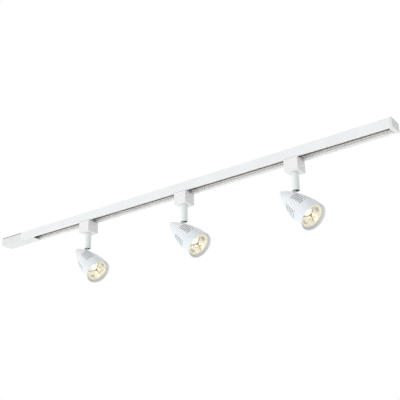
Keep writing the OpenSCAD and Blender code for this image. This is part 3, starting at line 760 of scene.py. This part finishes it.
def makeMirror(side, number, place, s):
    # Flat facets on the inner bowl: a coarse grid in angle and depth, each ring turned by
    # half a facet, with each facet's share of the light kept as an attribute. The mirror is a
    # thin closed skin in front of the glass.
    random = np.random.default_rng(s["seed"] + number)
    rings, columns = s["rings"], s["columns"]
    share = np.linspace(0, s["poleShare"], rings + 1)[:, None]
    front = s["face"] + s["lens"]
    depth = s["neckBack"] - s["wall"] - front - s["depthGap"]
    back = front + s["frontGap"] + share * depth
    outside = s["radius"] - s["rimStep"] - s["wall"]
    radius = bowlRadius(share, outside, s["neckRadius"] / 2) - s["sideGap"]
    half = (np.arange(rings + 1) % 2)[:, None] * 0.5
    turn = (np.arange(columns)[None] + half) * 2 * math.pi / columns
    points = place(radius * np.cos(turn), radius * np.sin(turn), back).reshape(-1, 3)
    quads = gridFaces(rings + 1, columns)
    row = np.arange(len(quads)) // columns
    even = (row % 2 == 0)[:, None]
    low = np.where(even, quads[:, [0, 1, 3]], quads[:, [0, 1, 2]])
    high = np.where(even, quads[:, [1, 2, 3]], quads[:, [0, 2, 3]])
    faces = np.stack([low, high], 1).reshape(-1, 3)
    # One tone a facet, a painted reflection of the capsule's light, with painted shadows spaced
    # evenly round the axis
    middle = (faces[:, 0] % columns) * 2 * math.pi / columns
    ring = np.repeat(row, 2) / rings
    spacing = 2 * math.pi / s["shadows"]
    aside = (middle - math.radians(s["shadowTurn"]) + spacing / 2) % spacing - spacing / 2
    shadow = (np.exp(-np.square(aside / math.radians(s["shadowWidth"])))
              * np.exp(-np.square((ring - s["shadowDepth"]) / s["shadowLength"])))
    glow = (s["brightness"] - s["shadowStrength"] * shadow
            + random.normal(0, s["spread"], len(faces)))
    mirror = buildMesh(f"lamp_{number}_mirror", points, faces)
    tone = mirror.data.attributes.new("glow", "FLOAT", "FACE")
    tone.data.foreach_set("value", np.clip(glow, 0, 1).astype(np.float32))
    withModifier(mirror, "SOLIDIFY", thickness=s["skin"] * mm, offset=0)
    dress(settled(mirror), facetMaterial, side)


capsuleSet = dict(lampSet, tubeRadius=4.3, tubeFront=8.6, tubeStep=2, tubeSteps=9,
                  capRadius=3.6, capFront=7.0, capDome=1.4, capDepth=2.4, capSteps=7,
                  sides=48, shading=50)


def makeCapsule(side, number, place, s):
    # The capsule is a tube with a domed tip, and the glare cap is a flat dome in front of it
    radius, end = s["tubeRadius"], s["neckBack"] - s["tubeStep"]
    dome = arcPoints((0, s["tubeFront"] + radius), radius, -90, 0, s["tubeSteps"])
    tube = np.vstack([dome, [(radius, end), (0, end)]])
    capsule = turned(f"lamp_{number}_capsule", tube, place, s["sides"], closed=False)
    dress(smooth(capsule, s["shading"]), capsuleMaterial, side)
    radius, tip, end = s["capRadius"], s["capFront"], s["capFront"] + s["capDepth"]
    dome = arcPoints((0, 0), 1, -90, 0, s["capSteps"]) * (radius, s["capDome"])
    outline = np.vstack([dome + (0, tip + s["capDome"]), [(radius, end), (0, end)]])
    cap = turned(f"lamp_{number}_glareCap", outline, place, s["sides"], closed=False)
    dress(smooth(cap, s["shading"]), capMaterial, side)


armSet = dict(count=3, turn=-8, reach=20.5, front=8.6, drop=6, half=1.6, tip=0.6, flatness=0.4,
              steps=25, sides=12, shading=60)


def makeArms(side, number, place, s):
    # Flat arms hold the glare cap: an ellipse that narrows outwards is carried along a
    # parabola from the cap back to the mirror
    angle = np.linspace(0, 2 * math.pi, s["sides"], endpoint=False)
    along = np.linspace(0, s["reach"], s["steps"])[:, None]
    share = along / s["reach"]
    half = s["half"] + (s["tip"] - s["half"]) * share
    half = np.where((share == 0) | (share == 1), 0.0, half)
    middle = s["front"] + s["drop"] * np.square(share)
    across, deep = half * np.cos(angle), s["flatness"] * half * np.sin(angle)
    for k in range(s["count"]):
        turn = math.radians(s["turn"] + 360 / s["count"] * k)
        u, v = math.cos(turn), math.sin(turn)
        points = place(along * u - across * v, along * v + across * u, middle + deep)
        arm = outward(buildMesh(f"lamp_{number}_arm_{k + 1}", points.reshape(-1, 3),
                                gridFaces(len(along), len(angle))))
        dress(smooth(arm, s["shading"]), capMaterial, side)


lensSet = dict(lampSet, gap=0.05, corner=0.4, cornerSteps=5, crown=0.35, rows=14, sides=96,
               shading=50)


def makeLens(side, number, place, s):
    # Cover glass: a flat back, a rounded edge and a front that crowns by a third of a millimetre
    radius, corner, face = s["lensRadius"], s["corner"], s["face"] + s["gap"]
    across = np.linspace(0, radius - corner, s["rows"])
    front = np.stack([across, face - s["crown"] * (1 - np.square(across / radius))], -1)
    edge = arcPoints((radius - corner, face + corner), corner, -90, 0, s["cornerSteps"])
    end = s["face"] + s["lens"] - s["gap"]
    outline = np.vstack([front, edge, [(radius, end), (0, end)]])
    lens = turned(f"lamp_{number}_coverGlass", outline, place, s["sides"], closed=False)
    dress(smooth(lens, s["shading"]), lensMaterial, side, f"lamp_lens_{number}")


baseSet = dict(lampSet, baseRadius=10, baseBack=51.5, chamfer=0.3, slope=0.4, grooves=(5.0, 9.4),
               grooveDepth=0.7, grooveFloor=1.2, corner=1, cornerSteps=6, sides=72, shading=30)


def makeBase(side, number, place, s):
    # The ceramic base: a turned outline with cooling grooves and a rounded back edge
    radius, start, end, slope = s["baseRadius"], s["neckEnd"], s["baseBack"], s["slope"]
    outline = [(0, start), (radius - s["chamfer"], start), (radius, start + slope)]
    for groove in s["grooves"]:
        inner, edge = radius - s["grooveDepth"], start + groove
        outline += [(radius, edge), (inner, edge + slope),
                    (inner, edge + slope + s["grooveFloor"]),
                    (radius, edge + 2 * slope + s["grooveFloor"])]
    corner = s["corner"]
    outline += [*arcPoints((radius - corner, end - corner), corner, 0, 90, s["cornerSteps"]),
                (0, end)]
    base = turned(f"lamp_{number}_base", outline, place, s["sides"], closed=False)
    dress(smooth(base, s["shading"]), lampCeramic, side)


lampMakers = ((makeBowl, bowlSet), (makeMirror, mirrorSet), (makeCapsule, capsuleSet),
              (makeArms, armSet), (makeLens, lensSet), (makeBase, baseSet))
for number, side in enumerate(headNames, 1):
    place = headPlace(side)
    for makePiece, settings in lampMakers:
        makePiece(side, number, place, settings)
print("lamps ready")


# The lock tab's travel is not used; lead is the rise of the end turns
springSet = dict(turns=5, radius=1.3, wire=0.3, endTurns=0.8, lead=0.25, travel=3.5, steps=30,
                 sides=12, shading=60)


def makeSpring(side, number, s):
    # A compression spring: a circle of the wire's radius carried along a helix whose rise
    # is slower over the end turns, as on ground ends
    low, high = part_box(f"lock_spring_{number}")
    centre = (low + high) / 2
    height = (high.z - low.z) / mm - 2 * s["wire"]
    turn = np.linspace(0, s["turns"], s["turns"] * s["steps"] + 1)
    rise = np.clip((turn - s["endTurns"] / 2) / (s["turns"] - s["endTurns"]), 0, 1)
    rise = (height * (s["lead"] * turn / s["turns"] + (1 - s["lead"]) * rise))[:, None]
    angle = np.linspace(0, 2 * math.pi, s["sides"], endpoint=False)
    wire = np.where((turn == 0) | (turn == s["turns"]), 0.0, s["wire"])[:, None]
    radius = s["radius"] + wire * np.cos(angle)
    x = radius * np.cos(turn * 2 * math.pi)[:, None]
    y = radius * np.sin(turn * 2 * math.pi)[:, None]
    z = rise + wire * np.sin(angle)
    points = np.stack([x, y, z], -1) * mm + np.array([centre.x, centre.y, low.z + s["wire"] * mm])
    coil = outward(buildMesh(f"lock_spring_{number}_coil", points.reshape(-1, 3),
                             gridFaces(len(turn), s["sides"])))
    smooth(coil, s["shading"])
    coil.data.materials.append(springSteel)
    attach(coil, side + "_adapter")
    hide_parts(f"lock_spring_{number}")
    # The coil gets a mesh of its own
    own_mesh(coil)


for number, side in enumerate(headNames, 1):
    makeSpring(side, number, springSet)
print("springs ready")
